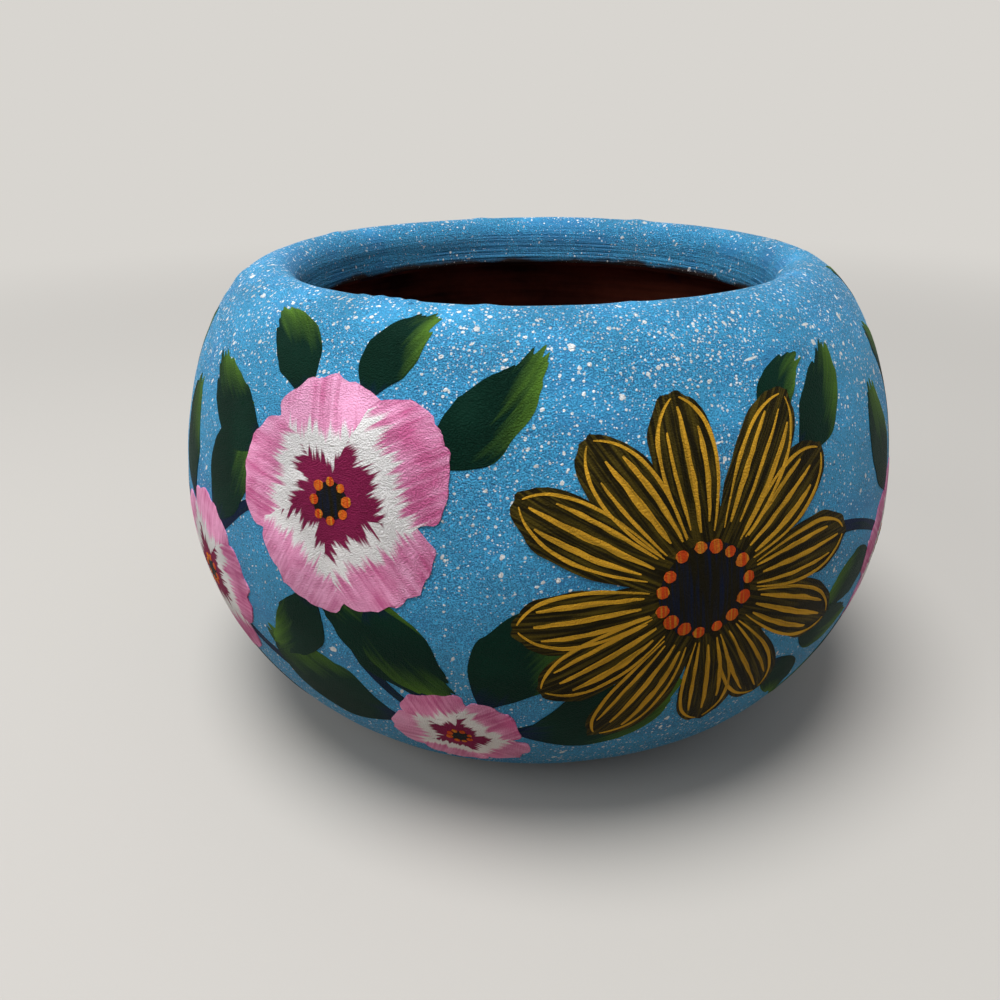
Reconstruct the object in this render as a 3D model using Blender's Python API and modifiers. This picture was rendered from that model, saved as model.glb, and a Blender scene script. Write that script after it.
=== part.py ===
"""Terracotta planter: a squat round pot, hand-built from luted clay pieces and coated with paint.

The potter joins four turned clay pieces with slip before firing: a base slab with its drain hole,
a lower bowl, an upper bowl and a rolled rim. A paint coat then covers the outside, the rim and the
throat. Metres, +Z up, origin on the ground at the centre of the foot.
"""

import math

import bpy

MM = 0.001

# Outside of the fired clay.
POT_HEIGHT = 128.5 * MM
BELLY_RADIUS = 105 * MM
BELLY_LEVEL = 65 * MM
FOOT_RADIUS = 63 * MM
FOOT_RISE = math.radians(12)
CREST_RADIUS = 75.5 * MM
SHOULDER_POWER = 1.79

# Clay thickness, mouth and drain.
WALL = 10 * MM
FLOOR_THICKNESS = 9 * MM
THROAT_RADIUS = 69.5 * MM
THROAT_DEPTH = 16 * MM
THROAT_ROUND = 4 * MM
DRAIN_RADIUS = 8 * MM

# Luted seams between the clay pieces.
SLIP_LINE = 0.3 * MM
BELLY_SCARF = 5 * MM
RIM_SEAM = math.radians(62)
RIM_SLIP = math.radians(0.54)

# Paint coat.
PAINT_GAP = 0.3 * MM
PAINT_FILM = 0.6 * MM
PAINT_FOOT_LEVEL = 3 * MM
PAINT_THROAT_DEPTH = 11 * MM

# Fineness of the turned surfaces.
ROUND_STEPS = 48
BOWL_POINTS = 12
RIM_POINTS = 7
ARC_POINTS = 6
MERGE = 0.01 * MM

# Colours as linear red, green and blue, with a roughness.
TERRACOTTA = ((0.262, 0.073, 0.034), 0.9)
BLUE_PAINT = ((0.052, 0.238, 0.445), 0.6)

# The lower wall is part of an ellipse that meets the ground at the foot.
LOWER_REACH = (BELLY_RADIUS - FOOT_RADIUS) / (1 - math.sin(FOOT_RISE))
LOWER_CENTRE = BELLY_RADIUS - LOWER_REACH
LOWER_DROP = BELLY_LEVEL / math.cos(FOOT_RISE)
SHOULDER_RISE = POT_HEIGHT - BELLY_LEVEL
LIP_ROUND = CREST_RADIUS - THROAT_RADIUS


def spread(first, last, count):
    """Evenly spaced values from first to last."""
    return [first + (last - first) * i / (count - 1) for i in range(count)]


def lower_wall(angle, inset=0.0):
    """A point of the lower wall, inset from its outside. The angle runs from the foot to the belly."""
    radius = LOWER_CENTRE + (LOWER_REACH - inset) * math.sin(angle)
    level = BELLY_LEVEL - (LOWER_DROP - inset) * math.cos(angle)
    return radius, level


def upper_wall(angle, inset=0.0):
    """A point of the shoulder, inset from its outside. The angle runs from the belly to the crest."""
    power = 2 / SHOULDER_POWER
    radius = CREST_RADIUS + (BELLY_RADIUS - CREST_RADIUS - inset) * abs(math.cos(angle)) ** power
    level = BELLY_LEVEL + (SHOULDER_RISE - inset) * math.sin(angle) ** power
    return radius, level


def round_over(angle, inset=0.0):
    """A point of the lip between the crest, at a right angle, and the throat, at a straight angle."""
    reach = LIP_ROUND - inset
    radius = CREST_RADIUS + reach * math.cos(angle)
    level = POT_HEIGHT - LIP_ROUND + reach * math.sin(angle)
    return radius, level


def lower_angle_at(level):
    """The lower wall's angle where its outside is at this level."""
    return math.acos((BELLY_LEVEL - level) / LOWER_DROP)


def upper_angle_inside(level):
    """The shoulder's angle where its inside is at this level."""
    share = (level - BELLY_LEVEL) / (SHOULDER_RISE - WALL)
    return math.asin(share ** (SHOULDER_POWER / 2))


def painted(name, colour, roughness):
    """A plain material of one colour."""
    material = bpy.data.materials.new(name)
    material.use_nodes = True
    shader = material.node_tree.nodes["Principled BSDF"]
    shader.inputs["Base Color"].default_value = (*colour, 1.0)
    shader.inputs["Roughness"].default_value = roughness
    material.diffuse_color = (*colour, 1.0)
    return material


def turned(name, section, finish, collection):
    """A ring turned from a closed section, which runs down its outer side and back up its inner side."""
    mesh = bpy.data.meshes.new(name)
    points = [(radius, 0.0, level) for radius, level in section]
    edges = [(i, (i + 1) % len(points)) for i in range(len(points))]
    mesh.from_pydata(points, edges, [])
    piece = bpy.data.objects.new(name, mesh)
    collection.objects.link(piece)
    screw = piece.modifiers.new("turn", "SCREW")
    screw.axis = "Z"
    screw.angle = math.tau
    screw.steps = ROUND_STEPS
    screw.render_steps = ROUND_STEPS
    screw.use_merge_vertices = True
    screw.merge_threshold = MERGE
    screw.use_smooth_shade = True
    mesh.materials.append(painted(name, *finish))
    return piece


def base_slab_section():
    """The flat base: a disc with a drain hole, whose edge is the seat of the lower bowl."""
    edge_radius, edge_level = lower_wall(FOOT_RISE, WALL)
    lean = (FOOT_RADIUS - edge_radius) / edge_level
    foot = FOOT_RADIUS - SLIP_LINE
    return [
        (foot - lean * FLOOR_THICKNESS, FLOOR_THICKNESS),
        (foot, 0.0),
        (DRAIN_RADIUS, 0.0),
        (DRAIN_RADIUS, FLOOR_THICKNESS),
    ]


def lower_bowl_section():
    """The wall from the foot to the belly, with a scarf on its top edge that centres the upper bowl."""
    quarter = math.pi / 2
    outside = [lower_wall(angle) for angle in spread(quarter, FOOT_RISE, BOWL_POINTS)]
    inside = [lower_wall(angle, WALL) for angle in spread(FOOT_RISE, quarter, BOWL_POINTS)]
    scarf = upper_wall(upper_angle_inside(BELLY_LEVEL + BELLY_SCARF), WALL)
    return outside + inside + [scarf]


def upper_bowl_section():
    """The shoulder from the belly to the rim's seam. Its lower edge is the other half of the scarf."""
    seam = SLIP_LINE * math.hypot(WALL, BELLY_SCARF) / WALL
    first_inside = upper_angle_inside(BELLY_LEVEL + BELLY_SCARF + seam)
    first_outside = math.asin((seam / SHOULDER_RISE) ** (SHOULDER_POWER / 2))
    outside = [upper_wall(angle) for angle in spread(RIM_SEAM, first_outside, BOWL_POINTS)]
    inside = [upper_wall(angle, WALL) for angle in spread(first_inside, RIM_SEAM, BOWL_POINTS)]
    return outside + inside


def rim_section():
    """The rolled rim: the crest, the throat's upright face and a rounded lower edge inside."""
    seam_angle = RIM_SEAM + RIM_SLIP
    outside = [upper_wall(angle) for angle in spread(math.pi / 2, seam_angle, RIM_POINTS)]
    seat = upper_wall(seam_angle, WALL)
    low = POT_HEIGHT - THROAT_DEPTH
    centre_radius = THROAT_RADIUS + THROAT_ROUND
    centre_level = low + THROAT_ROUND
    edge = [
        (centre_radius + THROAT_ROUND * math.cos(angle), centre_level + THROAT_ROUND * math.sin(angle))
        for angle in spread(-math.pi / 2, -math.pi, ARC_POINTS)
    ]
    lip = [round_over(angle) for angle in spread(math.pi, math.pi / 2, ARC_POINTS)]
    return outside + [seat] + edge + lip[:-1]


def coat_line(inset):
    """A line that follows the painted surfaces from the throat over the crest and down to the foot."""
    throat = [(THROAT_RADIUS - inset, POT_HEIGHT - PAINT_THROAT_DEPTH)]
    lip = [round_over(angle, -inset) for angle in spread(math.pi, math.pi / 2, ARC_POINTS)]
    shoulder = [upper_wall(angle, -inset) for angle in spread(math.pi / 2, 0.0, BOWL_POINTS + RIM_POINTS)]
    last = lower_angle_at(PAINT_FOOT_LEVEL)
    lower = [lower_wall(angle, -inset) for angle in spread(math.pi / 2, last, BOWL_POINTS)]
    return throat + lip[:-1] + shoulder[:-1] + lower


def paint_section():
    """The paint film, standing off the clay by a small gap."""
    outside = coat_line(PAINT_GAP + PAINT_FILM)
    inside = coat_line(PAINT_GAP)
    return outside + inside[::-1]


def clear_scene():
    for old in list(bpy.data.objects):
        bpy.data.objects.remove(old)


def main():
    clear_scene()
    pot = bpy.data.collections.new("terracotta_planter")
    bpy.context.scene.collection.children.link(pot)
    turned("base_slab", base_slab_section(), TERRACOTTA, pot)
    turned("lower_bowl", lower_bowl_section(), TERRACOTTA, pot)
    turned("upper_bowl", upper_bowl_section(), TERRACOTTA, pot)
    turned("rolled_rim", rim_section(), TERRACOTTA, pot)
    turned("paint_coat", paint_section(), BLUE_PAINT, pot)


main()
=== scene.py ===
"""Painted terracotta planter: the clay, the brushed blue paint and a folk garland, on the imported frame."""

import math
import random
from functools import partial
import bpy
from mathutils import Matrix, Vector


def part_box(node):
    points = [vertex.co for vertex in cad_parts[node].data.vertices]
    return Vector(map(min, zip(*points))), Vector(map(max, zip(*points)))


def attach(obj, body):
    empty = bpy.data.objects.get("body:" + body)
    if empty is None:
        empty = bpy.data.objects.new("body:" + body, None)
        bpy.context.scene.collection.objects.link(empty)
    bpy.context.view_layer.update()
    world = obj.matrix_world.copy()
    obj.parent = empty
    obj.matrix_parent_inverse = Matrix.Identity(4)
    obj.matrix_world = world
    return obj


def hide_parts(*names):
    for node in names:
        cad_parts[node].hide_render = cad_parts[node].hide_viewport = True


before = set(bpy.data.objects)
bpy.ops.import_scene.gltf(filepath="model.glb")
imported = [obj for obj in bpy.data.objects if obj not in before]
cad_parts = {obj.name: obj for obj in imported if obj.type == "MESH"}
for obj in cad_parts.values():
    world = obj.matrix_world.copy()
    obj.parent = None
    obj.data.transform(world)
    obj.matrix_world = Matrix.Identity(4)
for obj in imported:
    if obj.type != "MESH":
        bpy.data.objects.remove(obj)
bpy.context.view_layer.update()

from types import SimpleNamespace

import bpy
import numpy as np
from bpy.props import FloatProperty, FloatVectorProperty, IntProperty, PointerProperty
from mathutils import Matrix, Vector, noise

bl_info = {
    "name": "Painted Terracotta Planter",
    "version": (1, 0, 0),
    "blender": (4, 5, 0),
    "location": "3D View > Sidebar > Planter",
    "description": "Models a hand-painted clay pot on its packed frame",
    "category": "Add Mesh",
}

MM = 0.001
BODY = "root"
PAINT_SLOT = "blue_paint"
COAT_NAME = "blue_paint_coat"


def linear(code):
    """An sRGB hex value as linear red, green, blue and alpha."""
    parts = [int(code[i:i + 2], 16) / 255 for i in (1, 3, 5)]
    return tuple(p / 12.92 if p <= 0.04045 else ((p + 0.055) / 1.055) ** 2.4 for p in parts) + (1.0,)


def length(name, description, default):
    """A length that the user can change."""
    return FloatProperty(name=name, description=description, default=default,
                         unit="LENGTH", subtype="DISTANCE")


def tint(name, description, code):
    """A colour that the user can change."""
    return FloatVectorProperty(name=name, description=description, default=linear(code), size=4,
                               subtype="COLOR", min=0.0, max=1.0)


class PlanterSizes(bpy.types.PropertyGroup):
    """Sizes of the pot and of its garland."""

    height: length("Height", "Height of the clay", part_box("rolled_rim")[1][2])
    belly_radius: length("Belly Radius", "Radius at the widest level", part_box("lower_bowl")[1][0])
    belly_level: length("Belly Level", "Height of the widest level", 65 * MM)
    foot_radius: length("Foot Radius", "Radius of the flat foot", 63 * MM)
    crest_radius: length("Crest Radius", "Radius of the rim's highest circle", 75.5 * MM)
    throat_radius: length("Throat Radius", "Radius of the throat's upright face", 69.5 * MM)
    throat_depth: length("Throat Depth", "Depth of the rim's lower edge inside", 16 * MM)
    wall: length("Wall", "Thickness of the clay wall", 10 * MM)
    floor: length("Floor", "Thickness of the base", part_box("base_slab")[1][2])
    drain_radius: length("Drain Radius", "Radius of the hole in the base", 8 * MM)
    film: length("Paint Film", "Thickness of the paint coat", 0.6 * MM)
    bed: length("Paint Bed", "Gap between the clay and the paint coat", 0.3 * MM)
    rosette_radius: length("Rosette Radius", "Reach of a large rosette's petals", 28 * MM)
    daisy_radius: length("Daisy Radius", "Reach of a dark daisy's petals", 44 * MM)
    leaf_length: length("Leaf Length", "Length of a large leaf", 32 * MM)
    repeats: IntProperty(name="Repeats", description="Times the garland repeats", default=3, min=1)


class PlanterColours(bpy.types.PropertyGroup):
    """Colours of the clay and the paints."""

    clay: tint("Clay", "Bare fired clay", "#8A4630")
    # Darkest clay tone: random stains, and painted shade on the bare clay inside the pot and at the throat's
    # worn edge.
    clay_stain_and_shade: tint("Damp Clay", "Clay where it is stained and damp", "#240906")
    blue: tint("Blue", "Ground coat", "#3FB2E8")
    # The darker blue: patchy tone of the brushwork, and painted shade in the grain's pits, in the throat and
    # in its furrows.
    blue_tone_and_shade: tint("Deep Blue", "Ground coat where the brush left it thick", "#1D76AA")
    speck: tint("Speck", "Splattered white", "#F6FAFA")
    pink: tint("Pink", "Petals", "#F9B0D8")
    pink_deep: tint("Deep Pink", "Petals where the paint is thick", "#CF6799")
    white: tint("White", "Feathered part of a petal", "#F1F0F0")
    maroon: tint("Maroon", "Heart of a rosette", "#82204A")
    leaf: tint("Leaf", "Leaves", "#05281D")
    leaf_light: tint("Leaf Tip", "Yellow-green of the leaf tips", "#4F7526")
    stem: tint("Stem", "Stems and leaf bases", "#0A1C3C")
    dark: tint("Olive Black", "Daisy petals", "#1C1807")
    olive: tint("Olive", "Thin streaks in the daisy petals", "#5E5018")
    gold: tint("Gold", "Lines on the daisies", "#D6A22E")
    orange: tint("Orange", "Dots around a daisy's heart", "#D24A1C")


# Shape of the clay and the paint that the frame's boxes don't give.
FOOT_RISE = math.radians(12)
SHOULDER_POWER = 1.79
THROAT_ROUND = 4 * MM
RIM_SEAM = math.radians(62)
BELLY_SCARF = 5 * MM
COVE_REACH = 7 * MM
COVE_RISE = 6 * MM
PAINT_FOOT_LEVEL = 3 * MM
PAINT_EDGE = math.radians(205)

# Points of the curves that the sections are made of.
EDGE_POINTS = 8
COVE_POINTS = 12
TURN_POINTS = 16
LIP_POINTS = 24
RIM_POINTS = 40
CLAY_POINTS = 60
BOWL_POINTS = 90
SHOULDER_POINTS = 160

# Steps along the sections, finer where the clay and the paint are seen close, and steps around the axis.
SIDE_STEP = 0.1 * MM
THROAT_STEP = 0.4 * MM
SEEN_STEP = 0.8 * MM
LIP_STEP = 1 * MM
WALL_STEP = 1.1 * MM
DRAIN_STEP = 1.5 * MM
PLAIN_STEP = 2 * MM
BASE_EDGE_STEP = 3 * MM
FOOT_STEP = 4 * MM
HIDDEN_STEP = 5 * MM
BACK_STEP = 12 * MM
SKIN_STEPS = 440
CLAY_STEPS = 200
MERGE = 0.001 * MM


def sizes():
    """The sizes that the user can change."""
    return bpy.context.scene.planter_sizes


def colours():
    """The colours that the user can change."""
    return bpy.context.scene.planter_colours


def spread(first, last, count):
    """Evenly spaced values from first to last."""
    return [first + (last - first) * i / (count - 1) for i in range(count)]


def lower_wall(angle, inset=0.0):
    """A point of the lower wall, as radius and level. The angle runs from the foot to the belly."""
    pot = sizes()
    reach = (pot.belly_radius - pot.foot_radius) / (1 - math.sin(FOOT_RISE))
    drop = pot.belly_level / math.cos(FOOT_RISE)
    radius = pot.belly_radius - reach + (reach - inset) * math.sin(angle)
    return radius, pot.belly_level - (drop - inset) * math.cos(angle)


def upper_wall(angle, inset=0.0):
    """A point of the shoulder, as radius and level. The angle runs from the belly to the crest."""
    pot = sizes()
    power = 2 / SHOULDER_POWER
    reach = pot.belly_radius - pot.crest_radius - inset
    rise = pot.height - pot.belly_level - inset
    radius = pot.crest_radius + reach * abs(math.cos(angle)) ** power
    return radius, pot.belly_level + rise * math.sin(angle) ** power


def lip(angle, inset=0.0):
    """A point of the lip between the crest, at a right angle, and the throat, at a straight angle."""
    pot = sizes()
    lip_round = pot.crest_radius - pot.throat_radius
    reach = lip_round - inset
    return pot.crest_radius + reach * math.cos(angle), pot.height - lip_round + reach * math.sin(angle)


def rim_edge(angle, inset=0.0):
    """A point of the rim's rounded lower edge inside, from its underside to the throat."""
    pot = sizes()
    centre_radius = pot.throat_radius + THROAT_ROUND
    centre_level = pot.height - pot.throat_depth + THROAT_ROUND
    reach = THROAT_ROUND - inset
    return centre_radius + reach * math.cos(angle), centre_level + reach * math.sin(angle)


def run_along(line):
    """How far along a line each of its points is."""
    return np.concatenate([[0], np.cumsum(np.hypot(*np.diff(line, axis=0).T))])


def even(points, step):
    """The same line with points at an even step along it."""
    line = np.array(points)
    run = run_along(line)
    marks = np.linspace(0, run[-1], max(2, round(run[-1] / step) + 1))
    return [(float(np.interp(m, run, line[:, 0])), float(np.interp(m, run, line[:, 1]))) for m in marks]


def curve(first, bend, last, share):
    """A point of the curve that leaves first towards bend and reaches last from there."""
    return first * (1 - share) ** 2 + bend * (2 * share * (1 - share)) + last * share ** 2


def coat_line(offset):
    """The painted side of the clay, moved out by an offset: from the throat over the crest to the foot."""
    pot = sizes()
    low = math.acos((pot.belly_level - PAINT_FOOT_LEVEL) * math.cos(FOOT_RISE) / pot.belly_level)
    edge = [rim_edge(a, -offset) for a in spread(PAINT_EDGE, math.pi, EDGE_POINTS)]
    turn = [lip(a, -offset) for a in spread(math.pi, math.pi / 2, LIP_POINTS)]
    shoulder = [upper_wall(a, -offset) for a in spread(math.pi / 2, 0.0, SHOULDER_POINTS)]
    lower = [lower_wall(a, -offset) for a in spread(math.pi / 2, low, BOWL_POINTS)]
    return edge + turn + shoulder[1:] + lower[1:]


class PaintedSide:
    """The outer line of the paint, measured along from the belly: up is positive, and down is negative."""

    def __init__(self):
        pot = sizes()
        line = np.array(even(coat_line(pot.bed + pot.film), SIDE_STEP))[::-1]
        run = run_along(line)
        self.along = run - run[np.argmax(line[:, 0])]
        self.line = line

    def radius(self, along):
        return float(np.interp(along, self.along, self.line[:, 0]))

    def nearest(self, radius, level):
        """The gap from a radius and level to the line, and how far along the line is there."""
        gaps = np.hypot(self.line[:, 0] - radius, self.line[:, 1] - level)
        place = int(np.argmin(gaps))
        return float(gaps[place]), float(self.along[place])

    def point(self, azimuth, along):
        """A point of the paint. Azimuth zero faces the camera, and it grows to the camera's right."""
        radius = self.radius(along)
        level = float(np.interp(along, self.along, self.line[:, 1]))
        return Vector((radius * math.sin(azimuth), -radius * math.cos(azimuth), level))


def deselect():
    """Leave edit mode, with nothing selected."""
    if bpy.context.object and bpy.context.object.mode != "OBJECT":
        bpy.ops.object.mode_set(mode="OBJECT")
    bpy.ops.object.select_all(action="DESELECT")


def turn_section(name, section, steps):
    """Spin a closed section, given as radius and level, about the pot's axis."""
    deselect()
    bpy.ops.mesh.primitive_circle_add(vertices=len(section))
    piece = bpy.context.object
    piece.name = piece.data.name = name
    for vertex, (radius, level) in zip(piece.data.vertices, section):
        vertex.co = (radius, 0.0, level)
    bpy.ops.object.mode_set(mode="EDIT")
    bpy.ops.mesh.select_all(action="SELECT")
    bpy.ops.mesh.spin(steps=steps, angle=math.tau, center=(0, 0, 0), axis=(0, 0, 1))
    bpy.ops.mesh.select_all(action="SELECT")
    bpy.ops.mesh.remove_doubles(threshold=MERGE)
    bpy.ops.mesh.normals_make_consistent(inside=False)
    bpy.ops.object.mode_set(mode="OBJECT")
    bpy.ops.object.shade_smooth()
    return piece


def finish_piece(piece, material, slot, *nodes):
    """Give a piece its material, hang it on the root body, and hide the frame's parts that it stands for."""
    piece.data.materials.clear()
    piece.data.materials.append(material)
    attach(piece, BODY)
    if nodes:
        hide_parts(*nodes)


def ripple(place, around, upright, seed=0.0):
    """Noise that is drawn out around the pot, as a brush or a turning hand leaves it."""
    return noise.noise(Vector((place.x / around, place.y / around, place.z / upright + seed)))


# Clay

# Finger rings: reach around the pot, width and depth. Lumps: width and rise.
FINGER_RINGS = (70 * MM, 3.2 * MM, 0.35 * MM)
CLAY_LUMPS = (9 * MM, 0.18 * MM)


def turning_marks(piece):
    """Press the potter's finger rings and a little unevenness into a clay piece."""
    ring_reach, ring_width, ring_depth = FINGER_RINGS
    lump_width, lump_rise = CLAY_LUMPS
    for vertex in piece.data.vertices:
        place = vertex.co
        outward = Vector((place.x, place.y, 0)).normalized()
        rings = ripple(place, ring_reach, ring_width) * ring_depth
        lumps = noise.noise(place / lump_width) * lump_rise
        vertex.co = place + outward * (rings + lumps)


def base_section():
    """The flat disc that the pot stands on, with its drain hole."""
    pot = sizes()
    inner_radius, inner_level = lower_wall(FOOT_RISE, pot.wall)
    lean = (pot.foot_radius - inner_radius) / inner_level
    top = (pot.foot_radius - lean * pot.floor, pot.floor)
    foot = (pot.foot_radius, 0)
    drain = (pot.drain_radius, 0)
    drain_top = (pot.drain_radius, pot.floor)
    edge = even([top, foot], BASE_EDGE_STEP)
    underside = even([foot, drain], FOOT_STEP)
    hole = even([drain, drain_top], DRAIN_STEP)
    floor = even([drain_top, top], PLAIN_STEP)
    return edge[:-1] + underside[:-1] + hole[:-1] + floor[:-1]


def lower_section():
    """The wall from the foot to the belly, with the fillet on the floor inside."""
    pot = sizes()
    quarter = math.pi / 2
    outside = even([lower_wall(a) for a in spread(quarter, FOOT_RISE, CLAY_POINTS)], HIDDEN_STEP)
    wall = [lower_wall(a, pot.wall) for a in spread(FOOT_RISE, quarter, CLAY_POINTS)]
    wall = [(radius, level) for radius, level in wall if level > pot.floor + COVE_RISE]
    scarf = upper_wall(scarf_angle(), pot.wall)
    inside = even(cove(wall[0]) + wall + [scarf], SEEN_STEP)
    return outside + inside


def cove(end):
    """The fillet of slip that a finger presses onto the floor, up to a point of the wall."""
    pot = sizes()
    corner = Vector((lower_wall(FOOT_RISE, pot.wall)[0], pot.floor))
    start = corner - Vector((COVE_REACH, 0))
    shares = spread(0.0, 1.0, COVE_POINTS)
    return [tuple(curve(start, corner, Vector(end), share)) for share in shares[:-1]]


def scarf_angle():
    """The shoulder's angle at the inner edge of the belly's seam."""
    pot = sizes()
    share = BELLY_SCARF / (pot.height - pot.belly_level - pot.wall)
    return math.asin(share ** (SHOULDER_POWER / 2))


def upper_section():
    """The shoulder from the belly to the rim's seam."""
    pot = sizes()
    outside = even([upper_wall(a) for a in spread(RIM_SEAM, 0.0, CLAY_POINTS)], HIDDEN_STEP)
    inside = [upper_wall(a, pot.wall) for a in spread(scarf_angle(), RIM_SEAM, CLAY_POINTS)]
    return outside + even(inside, SEEN_STEP)


def rim_section():
    """The rolled rim: crest, upright throat and rounded lower edge."""
    pot = sizes()
    outside = even([upper_wall(a) for a in spread(math.pi / 2, RIM_SEAM, RIM_POINTS)], PLAIN_STEP)
    seat = upper_wall(RIM_SEAM, pot.wall)
    edge = [rim_edge(a) for a in spread(-math.pi / 2, -math.pi, TURN_POINTS)]
    face = even([lip(a) for a in spread(math.pi, math.pi / 2, TURN_POINTS)], LIP_STEP)
    underside = even([seat, edge[0]], SEEN_STEP)
    upright = even([edge[-1], face[0]], SEEN_STEP)
    return outside + underside + edge[1:-1] + upright[:-1] + face[:-1]


# Paint coat

# How far the whole coat stands out in mm, so that no dent sinks into the clay.
COAT_RISE = 0.12
# Uneven surface, as a width and a rise in mm.
WOBBLE = (45, 0.26)
DENTS = (11, 0.12)
SAND = (3.6, 0.02)
# Turning rings, as a reach around the pot, a width and a rise in mm.
SHOULDER_RINGS = (40, 2.6, 0.12)
FINE_THROAT_RINGS = (60, 1.3, 0.1)
BROAD_THROAT_RINGS = (90, 4, 0.3)
# Where the rings come in, in mm along from the belly.
SHOULDER_FROM, SHOULDER_FULL = 34, 52
THROAT_FROM, THROAT_FULL = 84, 94
# Lumps of dried slip: an azimuth in degrees, and a distance along from the belly, a width and a rise in mm.
LUMPS = (
    (-27, 76, 1.9, 0.6), (-24, 77, 1.4, 0.5), (-21, 76, 1.6, 0.5), (-31, 76, 1.7, 0.4),
    (-118, 77, 3.0, 0.6), (86, 75, 3.2, 0.7), (-8, 77, 2.2, 0.3), (16, 76, 2.6, 0.25),
    (150, 76, 2.8, 0.5), (-165, 74, 3.0, 0.4), (122, 82, 2.8, 0.6), (12, 62, 4.0, 0.4),
    (-78, 66, 3.6, 0.5), (40, 58, 3.4, 0.4), (-160, 52, 3.8, 0.5), (170, 44, 3.6, 0.4),
)
# A lump has faded away at three widths, where this square is reached.
LUMP_END = 9


def ease(low, high, value):
    """A smooth step from 0 at low to 1 at high."""
    share = min(1.0, max(0.0, (value - low) / (high - low)))
    return share * share * (3 - 2 * share)


def coat_relief(place, azimuth, along):
    """How far the paint stands out of its even line: wobble, dents, turning rings and lumps."""
    spot = place / MM
    run = along / MM
    height = COAT_RISE
    for (width, rise), seed in ((WOBBLE, 0), (DENTS, 7), (SAND, 0)):
        height += rise * noise.noise(spot / width + Vector((seed, 0, 0)))
    shoulder = ease(SHOULDER_FROM, SHOULDER_FULL, run)
    throat = ease(THROAT_FROM, THROAT_FULL, run)
    rings = ((SHOULDER_RINGS, shoulder, 3), (FINE_THROAT_RINGS, throat, 5), (BROAD_THROAT_RINGS, throat, 0))
    for (around, width, rise), share, seed in rings:
        height += share * rise * ripple(spot, around, width, seed)
    for lump_azimuth, lump_run, width, rise in LUMPS:
        aside = (azimuth - math.radians(lump_azimuth) + math.pi) % math.tau - math.pi
        across = aside * math.hypot(spot.x, spot.y)
        up = run - lump_run
        reach = (across * across + up * up) / (width * width)
        if reach < LUMP_END:
            height += rise * math.exp(-reach)
    return height * MM


def model_paint_coat():
    """The paint as a thin closed shell with the relief of a hand-built pot on its outer side."""
    pot = sizes()
    side = PaintedSide()
    crest = pot.crest_radius
    line = coat_line(pot.bed + pot.film)
    first_outside = next(i for i, (radius, level) in enumerate(line) if radius > crest)
    throat = even(line[:first_outside], THROAT_STEP)
    wall = even(line[first_outside - 1:], WALL_STEP)
    outside = throat[:-1] + wall
    inside = even(coat_line(pot.bed)[::-1], BACK_STEP)
    skin = turn_section(COAT_NAME, outside + inside, SKIN_STEPS)
    raise_relief(skin, side)
    return skin


def raise_relief(skin, side):
    """Press the relief into the outer side of the shell."""
    pot = sizes()
    nearest = {}
    moved = []
    for vertex in skin.data.vertices:
        place = vertex.co
        key = (round(math.hypot(place.x, place.y) / MM, 3), round(place.z / MM, 3))
        if key not in nearest:
            nearest[key] = side.nearest(key[0] * MM, key[1] * MM)
        gap, along = nearest[key]
        if gap > pot.film / 2:
            moved.append(place.copy())
            continue
        azimuth = math.atan2(place.x, -place.y)
        moved.append(place + vertex.normal * coat_relief(place, azimuth, along))
    for vertex, place in zip(skin.data.vertices, moved):
        vertex.co = place


# Brush strokes

# Heights of the paint layers over the ground coat. Overlapping strokes of one layer differ by a small step.
MAX_LIFT = 0.4 * MM
STEM_LIFT = 0.06 * MM
LEAF_LIFT = 0.08 * MM
PETAL_LIFT = 0.20 * MM
LINE_LIFT = 0.30 * MM
HEART_LIFT = 0.33 * MM
DOT_LIFT = 0.39 * MM
NEXT_LIFT = 0.02 * MM
CREASE = math.radians(50)
# Uneven edges: waves along an edge, rows of noise for its sides and for each stroke, and where teeth start.
EDGE_WAVES = 6
SIDE_ROW = 3
STROKE_ROW = 9.7
TEETH_ROW = 5.3
TEETH_START = 0.7


def new_blank(across, along):
    """A flat grid that each brush stroke is shaped from."""
    deselect()
    bpy.ops.mesh.primitive_grid_add(x_subdivisions=across, y_subdivisions=along, size=2)
    blank = bpy.context.object
    blank.data.attributes.new("brush", "FLOAT_VECTOR", "POINT")
    blank.data.attributes.new("spread", "FLOAT_VECTOR", "POINT")
    return blank


def shape(piece, kind, **settings):
    """Apply a modifier with some settings to a piece."""
    modifier = piece.modifiers.new(kind.lower(), kind)
    for name, value in settings.items():
        setattr(modifier, name, value)
    bpy.ops.object.modifier_apply(modifier=modifier.name)


class Spot:
    """A place on the pot that a motif is drawn around, with its own turn and size."""

    def __init__(self, repeat, across, along, turn=0.0, size=1.0):
        self.azimuth = math.tau * repeat / sizes().repeats + across / sizes().belly_radius
        self.along = along
        self.turn = turn
        self.size = size


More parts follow.
